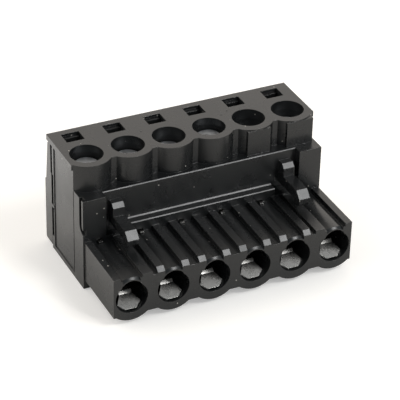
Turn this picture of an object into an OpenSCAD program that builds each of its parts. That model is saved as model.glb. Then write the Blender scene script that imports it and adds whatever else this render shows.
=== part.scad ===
// Pluggable terminal block: a row of screw clamps behind a row of sockets.
// X runs along the row, Y from the sockets to the wire side, Z up.
// The origin is the middle of the underside.

/* [Row] */
// Number of poles
poles = 6; // [2:1:8]
// Distance between neighbouring poles
pitch = 5.08; // [4.9:0.02:5.5]

/* [Block] */
// Height of the block
block_h = 15; // [14.6:0.1:17]
// Inset of the end walls under the lip of the top
wall_inset = 0.2; // [0.1:0.01:0.25]
// Thickness of the top's lip
lip_t = 0.7; // [0.5:0.05:0.8]
// Overhang of the top over the rear cover
top_overhang = 0.9; // [0.85:0.05:1.2]
// Thickness of the wall between the sockets and the clamps
front_wall = 1.7; // [1.6:0.05:2.4]
// Distance from the front wall to the screw axis
screw_back = 2.75; // [2.6:0.05:3.2]
// Distance from the screw axis to the housing's rear face
rear_room = 4.9; // [4.7:0.1:6]
// Depth of the recessed panel in each end wall
panel_t = 0.1; // [0.05:0.01:0.3]

/* [Shoulders] */
// Height of the shoulders and of the ledge under the screw tubes
ledge_h = 11.7; // [11.5:0.1:12.2]
// Width of each shoulder
shoulder_w = 2.85; // [2.4:0.05:3.2]
// Depth of the marking face behind the shoulders
mark_recess = 1.05; // [0.6:0.05:1.2]
// Height of the sill under the marking face
sill_h = 7.6; // [7.4:0.05:8]
// Width of the slot in the end of the first shoulder
end_slot_w = 0.65; // [0.4:0.05:0.8]
// Thickness of the skin in front of that slot
end_slot_skin = 0.4; // [0.3:0.05:0.6]
// Depth of that slot into the shoulder
end_slot_depth = 0.4; // [0.2:0.05:0.8]

/* [Nose] */
// Length of the nose that enters the header
nose_d = 8.3; // [7.5:0.05:10]
// Inset of the nose from the end walls
nose_inset = 0.15; // [0.1:0.01:0.4]
// Height of the socket axis
socket_z = 3.45; // [3.4:0.05:3.6]
// Radius of a socket
socket_r = 1.95; // [1.92:0.01:2]
// Radius of the relief over a socket's mouth
relief_r = 1.5; // [1.3:0.05:1.6]
// Width of that relief
relief_w = 2.36; // [2:0.02:2.6]
// Depth of that relief
relief_d = 4.2; // [2:0.1:5]
// Plastic left over that relief
relief_roof = 0.35; // [0.25:0.05:0.5]
// Outer radius of a socket tube on the top of the nose
tube_r = 2.6; // [2.5:0.05:2.7]
// Outer radius of a socket tube on the underside of the nose
keel_r = 2.95; // [2.8:0.05:3.05]
// Height of the flats between the tubes on the underside
keel_z = 1.2; // [1:0.05:1.4]
// Height of the nose between the coding ribs
deck_h = 5.85; // [5.7:0.05:6]
// Height of the end walls of the nose
nose_wall_h = 6.28; // [6.2:0.02:6.5]
// Thickness of the end walls of the nose
nose_wall_t = 0.85; // [0.7:0.05:1.1]
// Height of the coding ribs
rib_h = 6.45; // [6.3:0.05:6.6]
// Width of a coding rib
rib_w = 0.9; // [0.7:0.05:1]
// Width of the coding channel between two ribs
channel_w = 1.16; // [1:0.02:1.3]
// Chamfer at the front end of a rib
rib_chamfer = 0.5; // [0.3:0.05:0.6]
// Width of the broad rib at each end of the row
end_rib_w = 1.2; // [0.9:0.05:1.3]
// Height of that rib
end_rib_h = 6.25; // [6.1:0.05:6.4]

/* [Hooks] */
// Width of a latch hook
hook_w = 1.4; // [1.2:0.02:1.6]
// Distance of the outer hooks from the first and last pole, towards the middle
hook_in = 1.95; // [1.8:0.01:2.1]
// Height of the top of a hook's arm
hook_h = 8.95; // [8.7:0.05:9.2]
// Thickness of a hook's arm
hook_t = 1.25; // [1:0.05:1.4]
// Reach of a hook in front of the shoulders
hook_reach = 4.3; // [3.8:0.05:5.5]
// Drop of the catch under a hook's arm
catch_drop = 0.75; // [0.5:0.05:0.9]
// Free room on each side of a hook's root
hook_room = 0.9; // [0.5:0.05:1]

/* [Clamp chambers] */
// Width of a clamp chamber
chamber_w = 4; // [3.9:0.02:4.2]
// Thickness of the chamber floor
floor_t = 0.9; // [0.8:0.05:1.2]
// Thickness of the roof over a chamber
roof_t = 3.6; // [3.4:0.1:3.8]
// Outer radius of a screw tube
tower_r = 2.9; // [2.7:0.05:3]
// Width of the flat pads on the last two screw tubes
pad_w = 2.9; // [2:0.1:3.2]
// Radius of the screwdriver hole
driver_r = 1.95; // [1.85:0.01:2]
// Length of the screwdriver hole down to its guide
driver_d = 1.15; // [0.9:0.05:1.2]
// Radius of the guide around a screw head
guide_r = 1.78; // [1.6:0.01:1.8]

/* [Clamps] */
// Radial clearance of parts that slide or turn
running = 0.05; // [0.03:0.01:0.08]
// Height of a clamp yoke
yoke_h = 7.85; // [7.5:0.05:7.9]
// Depth of a clamp yoke along the wire
yoke_d = 3.5; // [3:0.1:3.8]
// Thickness of the tapped bridge of a yoke
bridge_t = 1.9; // [1.6:0.1:2]
// Thickness of the jaw under the wire
jaw_t = 1.5; // [1.2:0.05:1.6]
// Thickness of the legs of a yoke
leg_t = 0.55; // [0.4:0.05:0.6]

/* [Screws] */
// Radius of the screw thread
thread_r = 1.25; // [1.2:0.01:1.3]
// Radius of a screw head
head_r = 1.48; // [1.4:0.01:1.55]
// Height of a screw head
head_h = 1.5; // [1.3:0.05:1.5]
// Width of the screwdriver slot
slot_w = 0.5; // [0.4:0.05:0.7]
// Depth of the screwdriver slot
slot_d = 0.8; // [0.5:0.05:1]

/* [Contacts] */
// Thickness of the contact strip
strip_t = 0.25; // [0.22:0.01:0.28]
// Width of the current bar
bar_w = 2.6; // [2.3:0.05:2.65]
// Gap between the two springs before a header pin opens them
pin_gap = 0.6; // [0.5:0.05:1]
// Width of a spring where it touches the pin
spring_w = 1.56; // [1.3:0.02:1.8]
// Width of the flared lip of the lower spring
lip_w = 2.8; // [2:0.05:2.85]
// Drop of the lower spring behind the contact point
lower_fall = 0.9; // [0.7:0.05:1]
// Rise of the upper spring behind the contact point
upper_fall = 0.6; // [0.5:0.05:0.9]
// Depth of the lower spring's contact point behind the face of the nose
touch_y = 2.15; // [2.1:0.05:2.5]
// Height and depth of the ramp in front of it
lip_ramp = 0.35; // [0.25:0.05:0.4]
// Slope of the lip's plate in degrees
lip_tilt = 33; // [28:1:36]
// Length of the lip's plate
lip_len = 1.85; // [1.5:0.05:1.9]
// Setback of the upper spring behind the lower one
stagger = 0.9; // [0.8:0.1:1.6]

/* [Rear cover] */
// Thickness of the rear cover
cover_t = 1.95; // [1.8:0.05:2.4]
// Thickness of the cover's wall behind a chamber
cover_skin = 1.2; // [1:0.05:1.4]
// Height of the step in the cover's back
cover_step_h = 8.6; // [8:0.1:9.5]
// Height of the snap nubs in the ends of the cover
cover_nub_z = 5.9; // [4:0.1:8]
// Width of the gap along those ends
cover_gap = 0.5; // [0.3:0.05:0.6]
// Depth of the step in the cover's back
cover_step_d = 0.3; // [0.2:0.05:0.4]
// Lean of the cover's upper part
cover_lean = 0.6; // [0.4:0.05:0.8]
// Height of the underside of the cover
cover_foot = 0.4; // [0.2:0.05:0.5]
// Radius of a wire hole
wire_r = 1.45; // [1.3:0.01:1.5]
// Radius of the funnel around a wire hole
funnel_r = 2.1; // [1.9:0.05:2.3]
// Depth of that funnel
funnel_d = 0.5; // [0.3:0.05:0.6]
// Width of the windows in the top for the cover's snap tabs
window_w = 2.2; // [2:0.05:2.5]
// Length of those windows
window_d = 1.9; // [1.7:0.05:2.1]
// Thickness of a snap tab
tab_t = 0.7; // [0.5:0.05:0.8]
// Height of the catch on a snap tab
tab_catch = 1.45; // [1.35:0.05:1.6]

/* [Hidden] */
$fn = 72;
eps = 0.01;
seat = 0.05;
bevel = 0.1;

// Distance of each screw head below the top, and the turn of its slot.
head_sink = [1.32, 1.5, 1.6, 1.25, 2.1, 1.85];
slot_turn = [-26, 134, -20, -32, -26, 19];

row_w = poles * pitch;
end_x = row_w / 2 - wall_inset;
nose_x = end_x - nose_inset;
shoulder_x = end_x - shoulder_w;
lip_z = block_h - lip_t;

chamber_y = nose_d + front_wall;
screw_y = chamber_y + screw_back;
rear_y = screw_y + rear_room;
cover_y = rear_y + seat;
depth = rear_y + cover_t + seat;
web_y = screw_y - pitch / 2 + 0.67;
last_x = (poles - 1) * pitch / 2;
corner_y = screw_y - sqrt(tower_r * tower_r - (end_x - last_x) * (end_x - last_x));
mark_y = nose_d + mark_recess;

chamber_z = block_h - roof_t;
yoke_w = chamber_w - 2 * running;
yoke_z = floor_t + running;
wire_top = yoke_z + yoke_h - bridge_t;
bar_top = wire_top - 2 * running;
bar_t = 2 * strip_t;
wire_z = (yoke_z + jaw_t + bar_top - bar_t) / 2;
screw_len = block_h - max(head_sink) - bar_top - seat;

relief_z = socket_z + tube_r - relief_roof - relief_r;
lance_x = -0.35;
lance_y = nose_d - 0.5;
lance_z = deck_h + 0.1;
flat_len = 0.75;
lance_w = 0.5;
lance_rise = 0.5;

guide_taper = 0.9;
window_y = rear_y + seat - window_d;
tab_z = lip_z - tab_t - 1.2;
yoke_back = screw_y + yoke_d / 2;
rebate_t = 0.45;
rebate_z = 1.8;
gap_z = 10.2;
nub_d = 0.6;

function pole_x(i) = (i - (poles + 1) / 2) * pitch;

// The parts are drawn with Y = 0 at the sockets, then centred on the origin.
module centred() {
    translate([0, -depth / 2, 0]) children();
}

module each_pole() {
    for (i = [1:poles]) translate([pole_x(i), 0, 0]) children();
}

module both_ends() {
    for (side = [0, 1]) mirror([side, 0, 0]) children();
}

// A box from one corner to the opposite one.
module block(low, high) {
    translate(low) cube(high - low);
}

// An outline in Y and Z, given width w along X about X = 0.
module side_profile(w, points) {
    rotate([90, 0, 90])
        translate([0, 0, -w / 2])
            linear_extrude(w) polygon(points);
}

// A round bar or hole along Y.
module along_y(r, y0, y1, z, r_end = undef) {
    translate([0, y0, z])
        rotate([-90, 0, 0])
            cylinder(r1 = r, r2 = is_undef(r_end) ? r : r_end, h = y1 - y0);
}

// ---- Housing ----

// The block behind the nose, with the shoulders, the marking face and its sill.
module block_body() {
    half_sill = last_x - hook_in - hook_w / 2 - hook_room;
    bead = 0.14;
    block([-end_x, mark_y + bevel, 0], [end_x, rear_y, ledge_h]);
    side_profile(2 * shoulder_x + eps, [
        [mark_y, 0], [chamber_y, 0], [chamber_y, ledge_h],
        [mark_y + bevel, ledge_h], [mark_y, ledge_h - bevel]
    ]);
    side_profile(2 * half_sill, [
        [nose_d, 0], [chamber_y, 0], [chamber_y, sill_h], [mark_y, sill_h],
        [mark_y - bead, sill_h - bead], [nose_d + bevel, sill_h - bead],
        [nose_d, sill_h - bead - bevel]
    ]);
    block([-end_x, nose_d, 0], [end_x, chamber_y, rib_h + seat]);
    both_ends() block([shoulder_x, nose_d, 0], [end_x, chamber_y, ledge_h]);
}

// The screw tubes, the webs between them and the top with its lip.
module screw_tubes() {
    last_pad = 0.45;
    block([-last_x, web_y, 0], [last_x, rear_y, block_h]);
    block([-end_x, corner_y, 0], [end_x, rear_y, block_h]);
    block([-row_w / 2, corner_y, lip_z], [row_w / 2, rear_y + top_overhang, block_h]);
    intersection() {
        each_pole() translate([0, screw_y, ledge_h - eps])
            cylinder(r = tower_r, h = block_h - ledge_h + eps);
        union() {
            block([-end_x, 0, 0], [end_x, rear_y, block_h]);
            block([-row_w / 2, 0, lip_z], [row_w / 2, rear_y, block_h]);
        }
    }
    for (i = [max(1, poles - 1):poles]) translate([pole_x(i), screw_y - tower_r, 0])
        block([-pad_w / 2, 0, ledge_h - eps],
            [pad_w / 2 + (i == poles ? last_pad : 0), tower_r, block_h - bevel]);
}

// The nose: a deck over the socket tubes, with ribs that code the header.
module nose() {
    intersection() {
        union() {
            block([-nose_x, 0, keel_z], [nose_x, nose_d + eps, deck_h]);
            each_pole() {
                along_y(tube_r, 0, nose_d + eps, socket_z);
                intersection() {
                    along_y(keel_r, 0, nose_d + eps, socket_z);
                    block([-pitch / 2, -1, 0], [pitch / 2, nose_d + 1, socket_z]);
                }
            }
        }
        block([-nose_x, -1, 0], [nose_x, nose_d + eps, block_h]);
    }
    both_ends() block([nose_x - nose_wall_t, 0, socket_z], [nose_x, nose_d + eps, nose_wall_h]);
    for (i = [1:poles - 1]) translate([pole_x(i) + pitch / 2, 0, 0]) {
        outer_left = i == 1;
        outer_right = i == poles - 1;
        if (!outer_left) translate([-(channel_w + rib_w) / 2, 0, 0]) coding_rib();
        if (!outer_right) translate([(channel_w + rib_w) / 2, 0, 0]) coding_rib();
        if (outer_left) mirror([1, 0, 0]) end_rib();
        if (outer_right) end_rib();
    }
}

module coding_rib() {
    side_profile(rib_w, [
        [0, socket_z], [nose_d + eps, socket_z], [nose_d + eps, rib_h],
        [rib_chamfer, rib_h], [0, rib_h - rib_chamfer]
    ]);
}

// The broad rib beside the last channel at each end of the row.
module end_rib() {
    block([seat, 0, socket_z], [seat + end_rib_w, nose_d + eps, end_rib_h]);
}

// One latch hook, with its root in the block and its catch under the tip.
module latch_hook() {
    root_rise = 1.55;
    root_ramp = 0.5;
    root_y = nose_d - 0.25;
    tip_y = nose_d - hook_reach;
    tip_ramp = 0.85;
    catch_len = 1.15;
    nib = 0.2;
    under = hook_h - hook_t;
    side_profile(hook_w, [
        [mark_y + eps, hook_h + root_rise], [root_y + root_ramp, hook_h + root_rise],
        [root_y, hook_h + root_rise - root_ramp], [root_y, hook_h], [tip_y + tip_ramp, hook_h],
        [tip_y, hook_h - tip_ramp], [tip_y, under - nib],
        [tip_y + catch_drop - nib, under - catch_drop], [tip_y + catch_len, under - catch_drop],
        [tip_y + catch_len + nib, under], [mark_y + eps, under]
    ]);
}

// Socket, screwdriver hole, chamber and window of one pole.
module pole_cuts() {
    slot_half = lance_w / 2 + 0.08;
    along_y(socket_r, -1, chamber_y + eps, socket_z);
    intersection() {
        along_y(relief_r, -1, relief_d, relief_z);
        block([-relief_w / 2, -1, socket_z], [relief_w / 2, nose_d, block_h]);
    }
    mouth_chamfer();
    block([lance_x - slot_half, lance_y - seat, socket_z],
        [lance_x + slot_half, chamber_y + eps, deck_h + lance_rise]);
    block([-chamber_w / 2, chamber_y, floor_t], [chamber_w / 2, rear_y + 1, chamber_z]);
    translate([0, screw_y, block_h - driver_d]) cylinder(r = driver_r, h = driver_d + 1);
    translate([0, screw_y, block_h - driver_d - guide_taper])
        cylinder(r1 = guide_r, r2 = driver_r, h = guide_taper + eps);
    translate([0, screw_y, chamber_z - eps]) cylinder(r = guide_r, h = roof_t - driver_d);
    block([-window_w / 2, window_y, tab_z - 2 * seat], [window_w / 2, rear_y + seat, block_h + 1]);
    block([-window_w / 2, window_y, tab_z - 2 * seat], [window_w / 2, rear_y + 1, lip_z]);
}

// Chamfer round the relief over one mouth, from rib to rib.
module mouth_chamfer() {
    rim_r = relief_r + 0.13;
    rim_x = (pitch - channel_w) / 2 - rib_w;
    run = 0.6;
    difference() {
        block([-rim_x, -run, relief_z + relief_r / 2], [rim_x, run, rib_h + 1]);
        along_y(rim_r - 2 * run, -2 * run, 2 * run, relief_z, rim_r + 2 * run);
    }
}

// Recessed panel, upright groove and cover rebates of one end wall.
module end_cuts() {
    margin = 0.6;
    groove_w = 0.18;
    groove_y = web_y + 0.12;
    far = end_x + 1;
    block([end_x - panel_t, groove_y + groove_w, margin], [far, rear_y - cover_gap - 0.2, lip_z - bevel]);
    block([end_x - 0.12, groove_y - groove_w / 2, margin], [far, groove_y + groove_w / 2, ledge_h - bevel]);
    block([end_x - rebate_t, rear_y - cover_gap, rebate_z], [far, rear_y + 1, gap_z]);
    block([end_x - rebate_t, rear_y - cover_gap / 2, gap_z - eps], [far, rear_y + 1, lip_z]);
    translate([0, 0, cover_nub_z])
        block([end_x - rebate_t, rear_y - nub_d - seat, -0.3], [far, rear_y, 0.3]);
}

// The slot runs down behind a thin skin and curves out to the front.
module end_slot() {
    skin = end_slot_skin + 0.1;
    turn_z = sill_h + 0.75;
    x0 = end_x - end_slot_depth;
    block([x0, nose_d + end_slot_skin, turn_z - eps],
        [end_x + 1, nose_d + end_slot_skin + end_slot_w, ledge_h + 1]);
    intersection() {
        translate([x0, nose_d - 0.1, turn_z]) rotate([0, 90, 0]) difference() {
            cylinder(r = skin + end_slot_w, h = end_slot_depth + 1);
            translate([0, 0, -1]) cylinder(r = skin, h = end_slot_depth + 3);
        }
        block([x0, nose_d - 1, 0], [end_x + 1, nose_d + 2, turn_z]);
    }
}

module housing() {
    color("#2b2a2a") centred() difference() {
        union() {
            block_body();
            screw_tubes();
            nose();
            for (i = [1, poles])
                translate([pole_x(i) - sign(pole_x(i)) * hook_in, 0, 0]) latch_hook();
        }
        each_pole() pole_cuts();
        both_ends() end_cuts();
        mirror([1, 0, 0]) end_slot();
    }
}

// ---- Rear cover ----

// The cover's outline: stepped at mid height and leaning in above the step.
module cover_shell() {
    top_z = lip_z - seat;
    back_y = depth - cover_step_d;
    side_profile(2 * end_x, [
        [cover_y, cover_foot], [depth - bevel, cover_foot], [depth, cover_foot + bevel],
        [depth, cover_step_h - bevel], [depth - bevel, cover_step_h], [back_y, cover_step_h + 0.1],
        [back_y - cover_lean, top_z - 0.5], [cover_y + 0.45, top_z], [cover_y, top_z]
    ]);
}

// A tab that enters the slot under the window, with its catch in the window.
module snap_tab() {
    face = 0.2;
    tab_top = tab_z + tab_t;
    side_profile(window_w - 4 * seat, [
        [window_y + face, tab_z], [cover_y + eps, tab_z], [cover_y + eps, tab_top],
        [rear_y, tab_top], [rear_y, tab_top + tab_catch], [rear_y - 1.5 * face, tab_top + tab_catch],
        [rear_y - 2 * face, tab_top],
        [window_y + 1.75 * face, tab_top], [window_y + face, tab_top - 0.75 * face]
    ]);
}

// A shelf that carries the free end of the current bar.
module bar_shelf() {
    shelf_t = 0.35;
    top = bar_top - bar_t - seat;
    block([-bar_w / 2, yoke_back + 0.3, top - shelf_t], [bar_w / 2, depth - cover_skin + eps, top]);
}

module rear_cover() {
    color("#302f2e") centred() {
        difference() {
            union() {
                cover_shell();
                each_pole() snap_tab();
                both_ends() translate([0, 0, cover_nub_z])
                    block([end_x - rebate_t + seat, rear_y - nub_d, -0.2], [end_x, cover_y + eps, 0.2]);
            }
            each_pole() {
                block([-chamber_w / 2, cover_y - 1, floor_t],
                    [chamber_w / 2, depth - cover_skin, cover_step_h - 0.6]);
                along_y(wire_r, cover_y, depth + 1, wire_z);
                along_y(wire_r, depth - funnel_d, depth + eps, wire_z, funnel_r);
            }
            both_ends() block([end_x - rebate_t, cover_y - 1, gap_z],
                [end_x + 1, rear_y + cover_gap / 2, lip_z]);
        }
        each_pole() bar_shelf();
    }
}

// ---- Contacts ----

// Outline of a spring seen from above: it widens from the contact point to its root.
module spring_plan(point_y) {
    root = socket_r - 0.75;
    polygon([
        [-spring_w / 2, point_y - 0.5], [-spring_w / 2, point_y + flat_len], [-root, point_y + 3],
        [-root, chamber_y + 1], [root, chamber_y + 1], [root, point_y + 3],
        [spring_w / 2, point_y + flat_len], [spring_w / 2, point_y - 0.5]
    ]);
}

// Outline of a spring seen from the side: level at the contact point, then down to its root.
module spring_side(point_y, fall) {
    root_y = chamber_y + seat + eps;
    flat_y = point_y + flat_len;
    drop_y = flat_y + 1.3 * fall;
    polygon([
        [point_y, 0], [flat_y, 0], [drop_y, -fall], [root_y, -fall], [root_y, -fall - strip_t],
        [drop_y - 0.15, -fall - strip_t], [flat_y - 0.15, -strip_t], [point_y, -strip_t]
    ]);
}

// The lip seen from the side: a short ramp, a fine step up and a flat plate down to the tip.
module lip_side(fold_y) {
    step = 0.05;
    face = strip_t * [sin(lip_tilt), -cos(lip_tilt)];
    fold = [fold_y, step - lip_ramp];
    tip = fold - lip_len * [cos(lip_tilt), sin(lip_tilt)];
    polygon([
        [touch_y, 0], [fold_y, -lip_ramp], fold, tip, tip + face, fold + face, [touch_y + 0.1, -strip_t]
    ]);
}

// The lip seen from above: six-sided, widest below its middle.
module lip_plan(fold_y) {
    fall_y = lip_len * cos(lip_tilt);
    tip_y = fold_y - fall_y - seat;
    wide_y = fold_y - 0.6 * fall_y;
    tip_x = 0.22 * lip_w;
    polygon([
        [-spring_w / 2, touch_y + 0.3], [-spring_w / 2, fold_y], [-lip_w / 2, wide_y], [-tip_x, tip_y],
        [tip_x, tip_y], [lip_w / 2, wide_y], [spring_w / 2, fold_y], [spring_w / 2, touch_y + 0.3]
    ]);
}

// Stands an outline in Y and Z up on the level z, with width w along X.
module upright(w, z) {
    translate([-w / 2, 0, z]) rotate([90, 0, 90]) linear_extrude(w) children();
}

module lower_spring() {
    fold_y = touch_y - lip_ramp;
    z = socket_z - pin_gap / 2;
    intersection() {
        upright(2 * socket_r, z) spring_side(touch_y, lower_fall);
        linear_extrude(block_h) spring_plan(touch_y);
    }
    intersection() {
        upright(2 * socket_r, z) lip_side(fold_y);
        linear_extrude(block_h) lip_plan(fold_y);
    }
}

// The upper spring is the lower one's mirror image, set back and with a short lead-in.
module upper_spring() {
    point_y = touch_y + stagger;
    lead = 0.3;
    intersection() {
        translate([0, 0, 2 * socket_z]) mirror([0, 0, 1]) upright(2 * socket_r, socket_z - pin_gap / 2) {
            spring_side(point_y, upper_fall);
            polygon([
                [point_y - lead, -lead], [point_y, 0], [point_y, -strip_t], [point_y - lead / 3, -strip_t]
            ]);
        }
        linear_extrude(block_h) spring_plan(point_y);
    }
}

// One strip: two springs, an upright web and the bar that runs through the yoke.
module contact(i) {
    web_w = chamber_w - 2 * seat;
    web_front = chamber_y + seat;
    color("#a9aaa6") centred() translate([pole_x(i), 0, 0]) {
        intersection() {
            union() {
                lower_spring();
                upper_spring();
            }
            along_y(socket_r - seat, 0, chamber_y + 1, socket_z);
        }
        block([-web_w / 2, web_front, socket_z - socket_r], [web_w / 2, web_front + strip_t, bar_top]);
        block([-bar_w / 2, web_front, bar_top - bar_t], [bar_w / 2, yoke_back + 1.3, bar_top]);
        block([lance_x - lance_w / 2, lance_y, lance_z],
            [lance_x + lance_w / 2, web_front + eps, lance_z + strip_t]);
    }
}

// ---- Clamps ----

// A box clamp: a tapped bridge over two legs and the jaw that lifts the wire.
module clamp_yoke(i) {
    corner = 0.3;
    x = yoke_w / 2;
    y = yoke_d / 2;
    color("#b9b6a8") centred() translate([pole_x(i), screw_y, yoke_z]) difference() {
        linear_extrude(yoke_h) polygon([
            [x - corner, -y], [x, corner - y], [x, y - corner], [x - corner, y],
            [corner - x, y], [-x, y - corner], [-x, corner - y], [corner - x, -y]
        ]);
        block([leg_t - x, -yoke_d, jaw_t], [x - leg_t, yoke_d, yoke_h - bridge_t]);
        translate([0, 0, jaw_t]) cylinder(r = thread_r + running, h = yoke_h);
    }
}

// A clamp screw with its thread cut to a plain bar, a flat head and a slot.
module clamp_screw(i) {
    at = (i - 1) % len(head_sink);
    color("#c4c6c8") centred()
        translate([pole_x(i), screw_y, block_h - head_sink[at] - screw_len])
            difference() {
                rotate_extrude() polygon([
                    [0, 0], [thread_r - bevel, 0], [thread_r, bevel],
                    [thread_r, screw_len - head_h], [head_r, screw_len - head_h],
                    [head_r, screw_len - bevel], [head_r - bevel, screw_len], [0, screw_len]
                ]);
                rotate(slot_turn[at])
                    translate([-2 * head_r, -slot_w / 2, screw_len - slot_d])
                        cube([4 * head_r, slot_w, slot_d + 1]);
            }
}

housing();
rear_cover();
for (i = [1:poles]) {
    contact(i);
    clamp_yoke(i);
    clamp_screw(i);
}
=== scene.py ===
# Pluggable terminal block: finishes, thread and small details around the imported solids.
import math

import bmesh
import bpy
from mathutils import Matrix, Vector


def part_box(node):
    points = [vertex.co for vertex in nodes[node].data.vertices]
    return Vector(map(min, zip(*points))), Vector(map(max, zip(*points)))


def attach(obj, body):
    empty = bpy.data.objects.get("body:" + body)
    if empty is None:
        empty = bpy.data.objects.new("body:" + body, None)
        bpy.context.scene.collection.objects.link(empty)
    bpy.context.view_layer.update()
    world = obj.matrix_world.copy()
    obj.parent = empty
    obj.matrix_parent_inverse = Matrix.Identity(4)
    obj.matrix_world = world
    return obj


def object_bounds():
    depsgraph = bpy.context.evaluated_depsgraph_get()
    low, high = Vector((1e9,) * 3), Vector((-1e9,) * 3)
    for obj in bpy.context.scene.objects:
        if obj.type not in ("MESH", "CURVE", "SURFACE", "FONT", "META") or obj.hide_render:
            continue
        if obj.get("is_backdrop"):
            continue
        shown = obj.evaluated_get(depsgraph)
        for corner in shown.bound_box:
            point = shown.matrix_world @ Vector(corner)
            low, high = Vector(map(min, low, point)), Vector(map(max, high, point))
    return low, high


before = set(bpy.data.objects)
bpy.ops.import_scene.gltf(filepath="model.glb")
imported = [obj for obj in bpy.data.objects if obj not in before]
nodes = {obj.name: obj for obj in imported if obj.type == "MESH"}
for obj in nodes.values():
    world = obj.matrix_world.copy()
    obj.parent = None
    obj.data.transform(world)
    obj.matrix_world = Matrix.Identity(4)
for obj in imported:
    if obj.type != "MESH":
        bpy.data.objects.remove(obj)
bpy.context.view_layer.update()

millimetre = 0.001
poleCount = sum(1 for name in nodes if name.startswith("clamp_screw_"))


def boxCentre(node):
    low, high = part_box(node)
    return (low + high) / 2


polePitch = (boxCentre(f"clamp_screw_{poleCount}").x - boxCentre("clamp_screw_1").x) / (poleCount - 1)
print("frame loaded:", poleCount, "poles at", round(polePitch / millimetre, 3), "mm")


def linearColour(text):
    parts = [int(text[i:i + 2], 16) / 255 for i in (1, 3, 5)]
    return [c / 12.92 if c <= 0.04045 else ((c + 0.055) / 1.055) ** 2.4 for c in parts] + [1]


def addNode(tree, kind, inputs=None, **settings):
    node = tree.nodes.new(kind)
    for key, value in settings.items():
        setattr(node, key, value)
    for key, value in (inputs or {}).items():
        if isinstance(value, bpy.types.NodeSocket):
            tree.links.new(value, node.inputs[key])
        else:
            node.inputs[key].default_value = value
    return node


def newMaterial(name):
    material = bpy.data.materials.new(name)
    material.use_nodes = True
    tree = material.node_tree
    tree.nodes.clear()
    output = addNode(tree, "ShaderNodeOutputMaterial")
    place = addNode(tree, "ShaderNodeTexCoord").outputs["Object"]
    return material, tree, output, place


noiseSpan = (0.3, 0.7)  # most of a noise lies between these

# Moulded black polyamide: a spark-eroded mould leaves a fine satin grain, and slow
# flow leaves faint cloudy patches. Handling greys and polishes the edges, and the lighter edge colour also
# stands in for a painted highlight along every edge; dust settles on top.
polyamide = {
    "body": "#191a1b",
    "cloud": "#202121",
    # lighter grey for the edges: partly handling wear, partly a painted edge highlight
    "edgeWearAndHighlight": "#454442",
    "dust": "#a6a29b",
    "roughness": (0.22, 0.33),
    "edgeRoughness": 0.16,
    "ior": 1.5,
    "grainSize": 0.16,  # mm; the real grain is about 0.03 mm, drawn coarser so that it shows
    "grainDepth": 0.0025,  # mm
    "grainStrength": 0.8,
    "cloudSize": 4.0,  # mm
    "edgeRadius": 0.055,  # mm, the radius that the mould leaves on every edge
    "edgeTurn": (0.97, 0.8),  # cosine of the turn where an edge starts to grey, and where it is full
    "dustSpacing": 0.9,  # mm between the cells that may hold a speck
    "dustRadius": 0.08,  # mm
    "dustShare": 0.22,  # of the cells
    "dustTilt": -0.1,  # lowest height part of a face's normal that dust clings to
}


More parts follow.
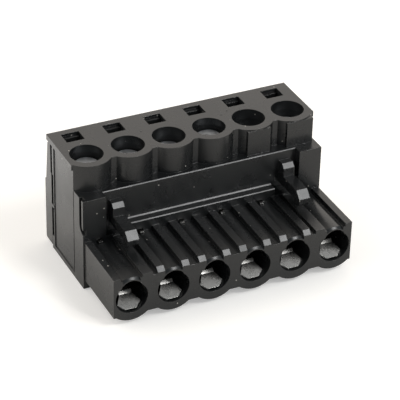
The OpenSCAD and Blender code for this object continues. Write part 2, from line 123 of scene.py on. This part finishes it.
def polyamideMaterial(name, look):
    material, tree, output, place = newMaterial(name)
    cloud = addNode(tree, "ShaderNodeTexNoise", {
        "Vector": place, "Scale": 1 / (look["cloudSize"] * millimetre), "Detail": 3.0, "Roughness": 0.55})
    grain = addNode(tree, "ShaderNodeTexNoise", {
        "Vector": place, "Scale": 1 / (look["grainSize"] * millimetre), "Detail": 2.0, "Roughness": 0.5})
    rounded = addNode(tree, "ShaderNodeBevel", {"Radius": look["edgeRadius"] * millimetre}, samples=8)
    flat = addNode(tree, "ShaderNodeNewGeometry")
    turn = addNode(tree, "ShaderNodeVectorMath", {
        0: rounded.outputs["Normal"], 1: flat.outputs["True Normal"]}, operation="DOT_PRODUCT")
    edge = addNode(tree, "ShaderNodeMapRange", {
        "Value": turn.outputs["Value"], "From Min": look["edgeTurn"][0],
        "From Max": look["edgeTurn"][1], "To Min": 0.0, "To Max": 1.0})
    patchy = addNode(tree, "ShaderNodeMix", {
        "Factor": cloud.outputs["Fac"], "A": linearColour(look["body"]), "B": linearColour(look["cloud"])},
        data_type="RGBA")
    # greys every edge: partly handling wear, partly a painted highlight painted into the colour
    colour = addNode(tree, "ShaderNodeMix", {
        "Factor": edge.outputs["Result"], "B": linearColour(look["edgeWearAndHighlight"])}, data_type="RGBA")
    tree.links.new(patchy.outputs[2], colour.inputs[6])
    satin = addNode(tree, "ShaderNodeMapRange", {
        "Value": cloud.outputs["Fac"], "From Min": noiseSpan[0], "From Max": noiseSpan[1],
        "To Min": look["roughness"][0], "To Max": look["roughness"][1]})
    roughness = addNode(tree, "ShaderNodeMix", {
        "Factor": edge.outputs["Result"], "A": satin.outputs["Result"], "B": look["edgeRoughness"]},
        data_type="FLOAT")
    cells = addNode(tree, "ShaderNodeTexVoronoi", {
        "Vector": place, "Scale": 1 / (look["dustSpacing"] * millimetre)})
    speck = addNode(tree, "ShaderNodeMath", {
        0: cells.outputs["Distance"], 1: look["dustRadius"] / look["dustSpacing"]}, operation="LESS_THAN")
    chance = addNode(tree, "ShaderNodeSeparateColor", {"Color": cells.outputs["Color"]})
    chosen = addNode(tree, "ShaderNodeMath", {
        0: chance.outputs["Red"], 1: look["dustShare"]}, operation="LESS_THAN")
    facing = addNode(tree, "ShaderNodeSeparateXYZ", {"Vector": flat.outputs["True Normal"]})
    upward = addNode(tree, "ShaderNodeMath", {
        0: facing.outputs["Z"], 1: look["dustTilt"]}, operation="GREATER_THAN")
    held = addNode(tree, "ShaderNodeMath", {0: chosen.outputs[0], 1: upward.outputs[0]}, operation="MULTIPLY")
    settled = addNode(tree, "ShaderNodeMath", {0: speck.outputs[0], 1: held.outputs[0]}, operation="MULTIPLY")
    dusty = addNode(tree, "ShaderNodeMix", {
        "Factor": settled.outputs[0], "B": linearColour(look["dust"])}, data_type="RGBA")
    tree.links.new(colour.outputs[2], dusty.inputs[6])
    bump = addNode(tree, "ShaderNodeBump", {
        "Height": grain.outputs["Fac"], "Distance": look["grainDepth"] * millimetre,
        "Strength": look["grainStrength"], "Normal": rounded.outputs["Normal"]})
    shader = addNode(tree, "ShaderNodeBsdfPrincipled", {
        "Base Color": dusty.outputs[2], "Roughness": roughness.outputs[0],
        "IOR": look["ior"], "Normal": bump.outputs["Normal"]})
    tree.links.new(shader.outputs["BSDF"], output.inputs["Surface"])
    return material


# Bright tin plating on a stamped copper alloy: soft grey, slightly uneven along the strip.
tinPlating = {"bright": "#999895", "dull": "#767573", "roughness": (0.24, 0.32), "lineSize": 0.7,
              "lineStretch": 0.6, "lineDepth": 0.006, "lineStrength": 0.7,
              "detail": 1.0, "edgeRadius": 0.05}
# Nickel plating on a cast and tapped brass clamp: warmer, with finer and shallower waves.
nickelPlating = {"bright": "#b7b2a4", "dull": "#97928a", "roughness": (0.24, 0.38), "lineSize": 0.25,
                 "lineStretch": 0.6, "lineDepth": 0.003, "lineStrength": 0.7,
                 "detail": 2.0, "edgeRadius": 0.08}


def platedMaterial(name, look):
    material, tree, output, place = newMaterial(name)
    along = addNode(tree, "ShaderNodeMapping", {"Vector": place, "Scale": (1, look["lineStretch"], 1)})
    lines = addNode(tree, "ShaderNodeTexNoise", {
        "Vector": along.outputs["Vector"], "Scale": 1 / (look["lineSize"] * millimetre),
        "Detail": look["detail"], "Roughness": 0.5})
    rounded = addNode(tree, "ShaderNodeBevel", {"Radius": look["edgeRadius"] * millimetre}, samples=6)
    colour = addNode(tree, "ShaderNodeMix", {
        "Factor": lines.outputs["Fac"], "A": linearColour(look["dull"]), "B": linearColour(look["bright"])},
        data_type="RGBA")
    roughness = addNode(tree, "ShaderNodeMapRange", {
        "Value": lines.outputs["Fac"], "From Min": noiseSpan[0], "From Max": noiseSpan[1],
        "To Min": look["roughness"][1], "To Max": look["roughness"][0]})
    bump = addNode(tree, "ShaderNodeBump", {
        "Height": lines.outputs["Fac"], "Distance": look["lineDepth"] * millimetre,
        "Strength": look["lineStrength"], "Normal": rounded.outputs["Normal"]})
    shader = addNode(tree, "ShaderNodeBsdfPrincipled", {
        "Base Color": colour.outputs[2], "Metallic": 1.0, "Roughness": roughness.outputs["Result"],
        "Normal": bump.outputs["Normal"]})
    tree.links.new(shader.outputs["BSDF"], output.inputs["Surface"])
    return material


# Zinc-plated steel screws: turned on a lathe, so the heads carry faint rings round their axis.
zincPlating = {"bright": "#c9cbce", "dull": "#a2a5a8", "roughness": (0.42, 0.58), "ringSpacing": 0.5655,
               "ringDepth": 0.002, "ringStrength": 0.6, "cloudSize": 0.8, "edgeRadius": 0.07}  # mm
wavePeriod = math.pi / 10  # of Blender's ring wave at scale 1


def turnedMaterial(name, look, axisY):
    material, tree, output, place = newMaterial(name)
    moved = addNode(tree, "ShaderNodeVectorMath", {0: place, 1: (0, -axisY, 0)}, operation="ADD")
    wrapped = addNode(tree, "ShaderNodeVectorMath", {
        0: moved.outputs["Vector"], 1: (polePitch, 1, 1), 2: (0, -1, -1)}, operation="WRAP")
    centred = addNode(tree, "ShaderNodeVectorMath", {
        0: wrapped.outputs["Vector"], 1: (-polePitch / 2, 0, 0)}, operation="ADD")
    rings = addNode(tree, "ShaderNodeTexWave", {
        "Vector": centred.outputs["Vector"], "Scale": wavePeriod / (look["ringSpacing"] * millimetre),
        "Distortion": 0.6, "Detail": 1.0}, wave_type="RINGS", rings_direction="Z")
    cloud = addNode(tree, "ShaderNodeTexNoise", {
        "Vector": place, "Scale": 1 / (look["cloudSize"] * millimetre)})
    rounded = addNode(tree, "ShaderNodeBevel", {"Radius": look["edgeRadius"] * millimetre}, samples=6)
    colour = addNode(tree, "ShaderNodeMix", {
        "Factor": cloud.outputs["Fac"], "A": linearColour(look["dull"]), "B": linearColour(look["bright"])},
        data_type="RGBA")
    roughness = addNode(tree, "ShaderNodeMapRange", {
        "Value": cloud.outputs["Fac"], "From Min": noiseSpan[0], "From Max": noiseSpan[1],
        "To Min": look["roughness"][0], "To Max": look["roughness"][1]})
    bump = addNode(tree, "ShaderNodeBump", {
        "Height": rings.outputs["Fac"], "Distance": look["ringDepth"] * millimetre,
        "Strength": look["ringStrength"], "Normal": rounded.outputs["Normal"]})
    shader = addNode(tree, "ShaderNodeBsdfPrincipled", {
        "Base Color": colour.outputs[2], "Metallic": 1.0, "Roughness": roughness.outputs["Result"],
        "Normal": bump.outputs["Normal"]})
    tree.links.new(shader.outputs["BSDF"], output.inputs["Surface"])
    return material


screwAxisY = boxCentre("clamp_screw_1").y
housingPlastic = polyamideMaterial("blackPolyamide", polyamide)
# the cover's edges get a darker grey: less wear and a fainter painted edge highlight
coverPlastic = polyamideMaterial("blackPolyamideCover", {
    **polyamide, "body": "#1b1b1b", "edgeWearAndHighlight": "#2f2e2d", "edgeRoughness": 0.3, "cloudSize": 5.0})
contactMetal = platedMaterial("tinPlatedCopperAlloy", tinPlating)
yokeMetal = platedMaterial("nickelPlatedBrass", nickelPlating)
screwMetal = turnedMaterial("zincPlatedSteel", zincPlating, screwAxisY)

finishes = {"housing": housingPlastic, "rear_cover": coverPlastic, "contact": contactMetal,
            "clamp_yoke": yokeMetal, "clamp_screw": screwMetal}
for name, piece in nodes.items():
    finish = next(finishes[key] for key in finishes if name.startswith(key))
    piece.data.materials.clear()
    piece.data.materials.append(finish)
print("materials assigned to", len(nodes), "solids")


def newTree(name, sizes):
    tree = bpy.data.node_groups.new(name, "GeometryNodeTree")
    for label, kind in sizes.items():
        tree.interface.new_socket(label, in_out="INPUT", socket_type=kind)
    tree.interface.new_socket("Geometry", in_out="OUTPUT", socket_type="NodeSocketGeometry")
    return tree, addNode(tree, "NodeGroupInput").outputs


def endTree(tree, shape, material):
    realized = addNode(tree, "GeometryNodeRealizeInstances", {0: shape})
    finished = addNode(tree, "GeometryNodeSetMaterial", {
        "Geometry": realized.outputs[0], "Material": material})
    addNode(tree, "NodeGroupOutput", {"Geometry": finished.outputs[0]})


def grow(name, tree, sizes):
    holder = bpy.data.objects.new(name, bpy.data.meshes.new(name))
    bpy.context.scene.collection.objects.link(holder)
    modifier = holder.modifiers.new("grow", "NODES")
    modifier.node_group = tree
    for item in tree.interface.items_tree:
        if item.in_out == "INPUT":
            modifier[item.identifier] = sizes[item.name]
    bpy.context.view_layer.update()
    seen = holder.evaluated_get(bpy.context.evaluated_depsgraph_get())
    mesh = bpy.data.meshes.new_from_object(seen)
    holder.modifiers.clear()
    holder.data = mesh
    mesh.name = name
    return holder


# The crests of the screws' rolled thread, on the bar that carries them.
thread = {"radius": 1.25, "pitch": 0.45, "crest": 0.04, "rootWidth": 0.34, "crestWidth": 0.08,
          "headHeight": 1.5, "runOut": 0.2}  # mm


def threadTree(material):
    tree, inputs = newTree("threadCrests", {
        "Radius": "NodeSocketFloat", "Pitch": "NodeSocketFloat", "Turns": "NodeSocketFloat",
        "Crest": "NodeSocketFloat", "Root Width": "NodeSocketFloat", "Crest Width": "NodeSocketFloat",
        "Foot": "NodeSocketVector"})
    height = addNode(tree, "ShaderNodeMath", {0: inputs["Pitch"], 1: inputs["Turns"]}, operation="MULTIPLY")
    helix = addNode(tree, "GeometryNodeCurveSpiral", {  # reversed, it climbs as a right-hand thread
        "Resolution": 36, "Rotations": inputs["Turns"], "Start Radius": inputs["Radius"],
        "End Radius": inputs["Radius"], "Height": height.outputs[0], "Reverse": True})
    level = addNode(tree, "GeometryNodeSetCurveNormal", {"Curve": helix.outputs[0]}, mode="Z_UP")
    depth = addNode(tree, "ShaderNodeMath", {0: inputs["Crest"], 1: 2.0}, operation="MULTIPLY")
    section = addNode(tree, "GeometryNodeCurvePrimitiveQuadrilateral", {
        "Height": depth.outputs[0], "Bottom Width": inputs["Root Width"],
        "Top Width": inputs["Crest Width"], "Offset": 0.0}, mode="TRAPEZOID")
    upright = addNode(tree, "GeometryNodeTransform", {
        "Geometry": section.outputs[0], "Rotation": (0, 0, -math.pi / 2)})
    ridge = addNode(tree, "GeometryNodeCurveToMesh", {
        "Curve": level.outputs[0], "Profile Curve": upright.outputs[0], "Fill Caps": True})
    placed = addNode(tree, "GeometryNodeTransform", {
        "Geometry": ridge.outputs[0], "Translation": inputs["Foot"]})
    endTree(tree, placed.outputs[0], material)
    return tree


def makeThreads(look):
    tree = threadTree(screwMetal)
    for number in range(1, poleCount + 1):
        low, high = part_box(f"clamp_screw_{number}")
        foot = ((low.x + high.x) / 2, (low.y + high.y) / 2, low.z + look["runOut"] * millimetre)
        length = high.z - low.z - (look["headHeight"] + 2 * look["runOut"]) * millimetre
        piece = grow(f"thread_{number}", tree, {
            "Radius": look["radius"] * millimetre, "Pitch": look["pitch"] * millimetre,
            "Turns": length / (look["pitch"] * millimetre), "Crest": look["crest"] * millimetre,
            "Root Width": look["rootWidth"] * millimetre, "Crest Width": look["crestWidth"] * millimetre,
            "Foot": foot})
        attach(piece, f"screw_{number}")


makeThreads(thread)
print("screw threads made")

# The rows of teeth that bite the wire: on the jaw of each yoke and under each current bar.
teeth = {"count": 6, "spacing": 0.5, "width": 0.32, "height": 0.13, "legWidth": 0.55,
         "jawThickness": 1.5, "barWidth": 2.6, "barUnderside": 6.3, "sink": 0.02}  # mm


def teethTree(name, material):
    tree, inputs = newTree(name, {
        "Count": "NodeSocketInt", "Spacing": "NodeSocketFloat", "Length": "NodeSocketFloat",
        "Width": "NodeSocketFloat", "Height": "NodeSocketFloat", "Middle": "NodeSocketVector",
        "Turn": "NodeSocketFloat"})
    half = addNode(tree, "ShaderNodeMath", {0: inputs["Length"], 1: 0.5}, operation="MULTIPLY")
    other = addNode(tree, "ShaderNodeMath", {0: half.outputs[0], 1: -1.0}, operation="MULTIPLY")
    start = addNode(tree, "ShaderNodeCombineXYZ", {"X": other.outputs[0]})
    end = addNode(tree, "ShaderNodeCombineXYZ", {"X": half.outputs[0]})
    line = addNode(tree, "GeometryNodeCurvePrimitiveLine", {"Start": start.outputs[0], "End": end.outputs[0]})
    level = addNode(tree, "GeometryNodeSetCurveNormal", {"Curve": line.outputs[0]}, mode="Z_UP")
    blunt = addNode(tree, "ShaderNodeMath", {0: inputs["Width"], 1: 0.15}, operation="MULTIPLY")
    section = addNode(tree, "GeometryNodeCurvePrimitiveQuadrilateral", {
        "Height": inputs["Height"], "Bottom Width": inputs["Width"], "Top Width": blunt.outputs[0],
        "Offset": 0.0}, mode="TRAPEZOID")
    upright = addNode(tree, "GeometryNodeTransform", {
        "Geometry": section.outputs[0], "Rotation": (0, 0, math.pi)})
    tooth = addNode(tree, "GeometryNodeCurveToMesh", {
        "Curve": level.outputs[0], "Profile Curve": upright.outputs[0], "Fill Caps": True})
    fewer = addNode(tree, "ShaderNodeMath", {0: inputs["Count"], 1: 1.0}, operation="SUBTRACT")
    span = addNode(tree, "ShaderNodeMath", {0: fewer.outputs[0], 1: inputs["Spacing"]}, operation="MULTIPLY")
    back = addNode(tree, "ShaderNodeMath", {0: span.outputs[0], 1: -0.5}, operation="MULTIPLY")
    first = addNode(tree, "ShaderNodeCombineXYZ", {"Y": back.outputs[0]})
    step = addNode(tree, "ShaderNodeCombineXYZ", {"Y": inputs["Spacing"]})
    row = addNode(tree, "GeometryNodeMeshLine", {
        "Count": inputs["Count"], "Start Location": first.outputs[0], "Offset": step.outputs[0]})
    comb = addNode(tree, "GeometryNodeInstanceOnPoints", {
        "Points": row.outputs[0], "Instance": tooth.outputs[0]})
    turn = addNode(tree, "ShaderNodeCombineXYZ", {"X": inputs["Turn"]})
    placed = addNode(tree, "GeometryNodeTransform", {
        "Geometry": comb.outputs[0], "Translation": inputs["Middle"], "Rotation": turn.outputs[0]})
    endTree(tree, placed.outputs[0], material)
    return tree


def makeTeeth(look):
    jawTree = teethTree("jawTeeth", yokeMetal)
    barTree = teethTree("barTeeth", contactMetal)
    lift = (look["height"] / 2 - look["sink"]) * millimetre
    for number in range(1, poleCount + 1):
        low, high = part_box(f"clamp_yoke_{number}")
        middle = (low + high) / 2
        sizes = {"Count": look["count"], "Spacing": look["spacing"] * millimetre,
                 "Width": look["width"] * millimetre, "Height": look["height"] * millimetre}
        jaw = grow(f"jawTeeth_{number}", jawTree, {
            **sizes, "Length": high.x - low.x - 2 * look["legWidth"] * millimetre, "Turn": 0.0,
            "Middle": (middle.x, middle.y, low.z + look["jawThickness"] * millimetre + lift)})
        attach(jaw, f"yoke_{number}")
        bar = grow(f"barTeeth_{number}", barTree, {
            **sizes, "Length": look["barWidth"] * millimetre, "Turn": math.pi,
            "Middle": (middle.x, middle.y, look["barUnderside"] * millimetre - lift)})
        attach(bar, "block")


makeTeeth(teeth)
print("clamping teeth made")

# Small marks of the mould on the top: low domes where the plastic ran in and where pins pushed.
mouldMarks = {"places": ((-5.1, 4.975), (5.0, 4.775), (6.0, 5.375)), "radius": 0.14, "rise": 0.05,
              "sink": 0.01}  # mm


def makeMouldMarks(look):
    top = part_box("housing")[1].z
    shape = bmesh.new()
    for x, y in look["places"]:
        dome = bmesh.ops.create_uvsphere(
            shape, u_segments=20, v_segments=12, radius=look["radius"] * millimetre)
        flatten = Matrix.Diagonal((1, 1, look["rise"] / look["radius"], 1))
        spot = Matrix.Translation((x * millimetre, y * millimetre, top - look["sink"] * millimetre))
        bmesh.ops.transform(shape, matrix=spot @ flatten, verts=dome["verts"])
    bmesh.ops.recalc_face_normals(shape, faces=shape.faces)
    mesh = bpy.data.meshes.new("mouldMarks")
    shape.to_mesh(mesh)
    shape.free()
    mesh.materials.append(housingPlastic)
    for face in mesh.polygons:
        face.use_smooth = True
    piece = bpy.data.objects.new("mouldMarks", mesh)
    bpy.context.scene.collection.objects.link(piece)
    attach(piece, "block")


makeMouldMarks(mouldMarks)
print("mould marks made")

# The stage: a pale floor under soft boxes. What mirrors it sees it glow more towards the back.
stageLook = {"floorSize": 3.0, "floor": "#f4f1ec", "clearance": 0.015, "lift": 0.32,
             "frontLift": 0.05, "backLift": 0.75, "liftFrom": -5.0, "liftTo": 40.0,
             "backSky": 1.3, "frontSky": 0.26, "highSky": 0.35, "backTint": "#fff9f2",
             "frontTint": "#e9f6ff", "backSpan": (-0.55, 0.25), "highSpan": (0.68, 0.88)}


def rayKinds(tree):
    ray = addNode(tree, "ShaderNodeLightPath")
    mirrored = addNode(tree, "ShaderNodeMath", {
        0: ray.outputs["Is Glossy Ray"], 1: ray.outputs["Is Transmission Ray"]}, operation="MAXIMUM")
    return ray.outputs["Is Camera Ray"], mirrored.outputs[0]


def makeStage(look):
    mesh = bpy.data.meshes.new("floor")
    half = look["floorSize"] / 2
    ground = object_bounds()[0][2] - look["clearance"] * millimetre
    mesh.from_pydata([(-half, -half, ground), (half, -half, ground), (half, half, ground),
                      (-half, half, ground)], [], [(0, 1, 2, 3)])
    floor = bpy.data.objects.new("floor", mesh)
    bpy.context.scene.collection.objects.link(floor)
    material, tree, output, place = newMaterial("paleCard")
    direct, mirrored = rayKinds(tree)
    seen = addNode(tree, "ShaderNodeMath", {0: direct, 1: mirrored}, operation="MAXIMUM")
    depth = addNode(tree, "ShaderNodeSeparateXYZ", {"Vector": place})
    sweep = addNode(tree, "ShaderNodeMapRange", {
        "Value": depth.outputs["Y"], "From Min": look["liftFrom"] * millimetre,
        "From Max": look["liftTo"] * millimetre, "To Min": look["frontLift"],
        "To Max": look["backLift"]}, interpolation_type="SMOOTHSTEP")
    level = addNode(tree, "ShaderNodeMix", {
        "Factor": direct, "A": sweep.outputs["Result"], "B": look["lift"]}, data_type="FLOAT")
    strength = addNode(tree, "ShaderNodeMath", {0: seen.outputs[0], 1: level.outputs[0]},
        operation="MULTIPLY")
    glow = addNode(tree, "ShaderNodeEmission", {"Strength": strength.outputs[0]})
    card = addNode(tree, "ShaderNodeBsdfDiffuse", {"Color": linearColour(look["floor"])})
    both = addNode(tree, "ShaderNodeAddShader", {0: card.outputs[0], 1: glow.outputs[0]})
    tree.links.new(both.outputs[0], output.inputs["Surface"])
    mesh.materials.append(material)
    floor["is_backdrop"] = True


# The white backdrop stands behind and beside the object. The room in front and above is dimmer.
def makeSky(look):
    world = bpy.data.worlds.new("studioSky")
    bpy.context.scene.world = world
    world.use_nodes = True
    tree = world.node_tree
    tree.nodes.clear()
    towards = addNode(tree, "ShaderNodeSeparateXYZ", {
        "Vector": addNode(tree, "ShaderNodeTexCoord").outputs["Generated"]})
    behind = addNode(tree, "ShaderNodeMapRange", {
        "Value": towards.outputs["Y"], "From Min": look["backSpan"][0], "From Max": look["backSpan"][1],
        "To Min": look["frontSky"], "To Max": look["backSky"]}, interpolation_type="SMOOTHSTEP")
    high = addNode(tree, "ShaderNodeMapRange", {
        "Value": towards.outputs["Z"], "From Min": look["highSpan"][0], "From Max": look["highSpan"][1],
        "To Min": 0.0, "To Max": 1.0}, interpolation_type="SMOOTHSTEP")
    level = addNode(tree, "ShaderNodeMix", {
        "Factor": high.outputs["Result"], "A": behind.outputs["Result"], "B": look["highSky"]},
        data_type="FLOAT")
    direct, mirrored = rayKinds(tree)
    backdrop = addNode(tree, "ShaderNodeMapRange", {
        "Value": behind.outputs["Result"], "From Min": look["frontSky"], "From Max": look["backSky"]})
    low = addNode(tree, "ShaderNodeMath", {0: 1.0, 1: high.outputs["Result"]}, operation="SUBTRACT")
    screen = addNode(tree, "ShaderNodeMath", {0: backdrop.outputs["Result"], 1: low.outputs[0]},
                     operation="MULTIPLY")
    reflected = addNode(tree, "ShaderNodeMath", {0: screen.outputs[0], 1: mirrored}, operation="MULTIPLY")
    white = addNode(tree, "ShaderNodeMath", {0: reflected.outputs[0], 1: direct}, operation="MAXIMUM")
    peak = addNode(tree, "ShaderNodeMix", {
        "Factor": direct, "A": look["backSky"], "B": 1.0}, data_type="FLOAT")
    strength = addNode(tree, "ShaderNodeMix", {
        "Factor": white.outputs[0], "A": level.outputs[0], "B": peak.outputs[0]}, data_type="FLOAT")
    room = addNode(tree, "ShaderNodeMix", {
        "Factor": backdrop.outputs["Result"], "A": linearColour(look["frontTint"]),
        "B": linearColour(look["backTint"])}, data_type="RGBA")
    tint = addNode(tree, "ShaderNodeMix", {"Factor": direct, "B": (1, 1, 1, 1)}, data_type="RGBA")
    tree.links.new(room.outputs[2], tint.inputs[6])
    glow = addNode(tree, "ShaderNodeBackground", {"Color": tint.outputs[2], "Strength": strength.outputs[0]})
    addNode(tree, "ShaderNodeOutputWorld", {"Surface": glow.outputs[0]})


softBoxes = {  # name: direction, distance and side in metres, radiance
    "keyBox": ((0.37, -0.54, 0.76), 0.45, 0.15, 10.0),
    "sparkBox": ((0.372, -0.842, 0.388), 0.45, 0.04, 65.0),
    "sideBox": ((-0.80, 0.25, 0.55), 0.50, 0.30, 1.5),
}


def addSoftBox(name, direction, distance, side, radiance):
    lamp = bpy.data.lights.new(name, "AREA")
    lamp.shape = "SQUARE"
    lamp.size = side
    lamp.energy = radiance * math.pi * side * side
    holder = bpy.data.objects.new(name, lamp)
    away = Vector(direction).normalized()
    holder.location = away * distance
    holder.rotation_euler = away.to_track_quat("Z", "Y").to_euler()
    bpy.context.scene.collection.objects.link(holder)


makeStage(stageLook)
makeSky(stageLook)
for name, values in softBoxes.items():
    addSoftBox(name, *values)
print("stage and", len(softBoxes), "soft boxes made")

cameraSpot = {"azimuth": 26.16, "elevation": 32.39, "roll": 1.40, "distance": 0.2305,
              "aim": (0.0, -0.001825, 0.008), "slide": (0.00062, -0.000314), "lens": 181.1}


def placeCamera(spot):
    azimuth, elevation, roll = (math.radians(spot[key]) for key in ("azimuth", "elevation", "roll"))
    look = Vector((math.sin(azimuth) * math.cos(elevation), math.cos(azimuth) * math.cos(elevation),
                   -math.sin(elevation)))
    right = look.cross(Vector((0, 0, 1))).normalized()
    up = right.cross(look)
    tiltedRight = math.cos(roll) * right + math.sin(roll) * up
    tiltedUp = math.cos(roll) * up - math.sin(roll) * right
    camera = bpy.data.cameras.new("camera")
    camera.lens = spot["lens"]
    camera.sensor_width = 36
    camera.clip_start = 0.01
    holder = bpy.data.objects.new("camera", camera)
    turned = Matrix((tiltedRight, tiltedUp, -look)).transposed().to_4x4()
    turned.translation = (Vector(spot["aim"]) - spot["slide"][0] * tiltedRight
                          - spot["slide"][1] * tiltedUp - spot["distance"] * look)
    holder.matrix_world = turned
    bpy.context.scene.collection.objects.link(holder)
    bpy.context.scene.camera = holder


placeCamera(cameraSpot)
bpy.context.scene.view_settings.view_transform = "Standard"
print("camera placed")
